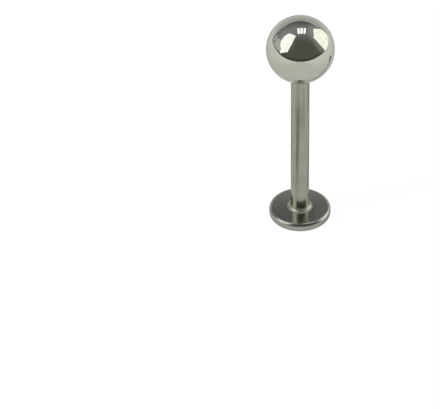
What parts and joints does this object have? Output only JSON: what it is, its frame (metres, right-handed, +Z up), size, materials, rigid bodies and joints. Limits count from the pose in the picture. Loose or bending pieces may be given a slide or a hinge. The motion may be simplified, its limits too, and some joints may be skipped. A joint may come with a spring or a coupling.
{
  "type": "labret stud",
  "caption": "Labret stud for a piercing: a polished steel bar with a flat disc back at its foot and a round ball that screws on to its threaded end.",
  "frame": {"origin": "centre of the disc's flat underside, which the stud stands on", "axes": "+Z up the bar towards the ball; the stud is round about Z apart from its thread"},
  "size_m": [0.006, 0.006, 0.0213],
  "materials": {
    "post_steel": "polished surgical steel with faint drawing and turning marks, a little softer than a mirror",
    "ball_steel": "mirror-polished surgical steel"
  },
  "bodies": {
    "post": {"flat_back_post": "post_steel"},
    "ball": {"screw_ball": "ball_steel"}
  },
  "joints": [
    {"name": "ball_unscrew", "type": "slide", "parent": "post", "child": "ball", "axis": [0, 0, 1], "range_m": [0, 0.003]}
  ]
}
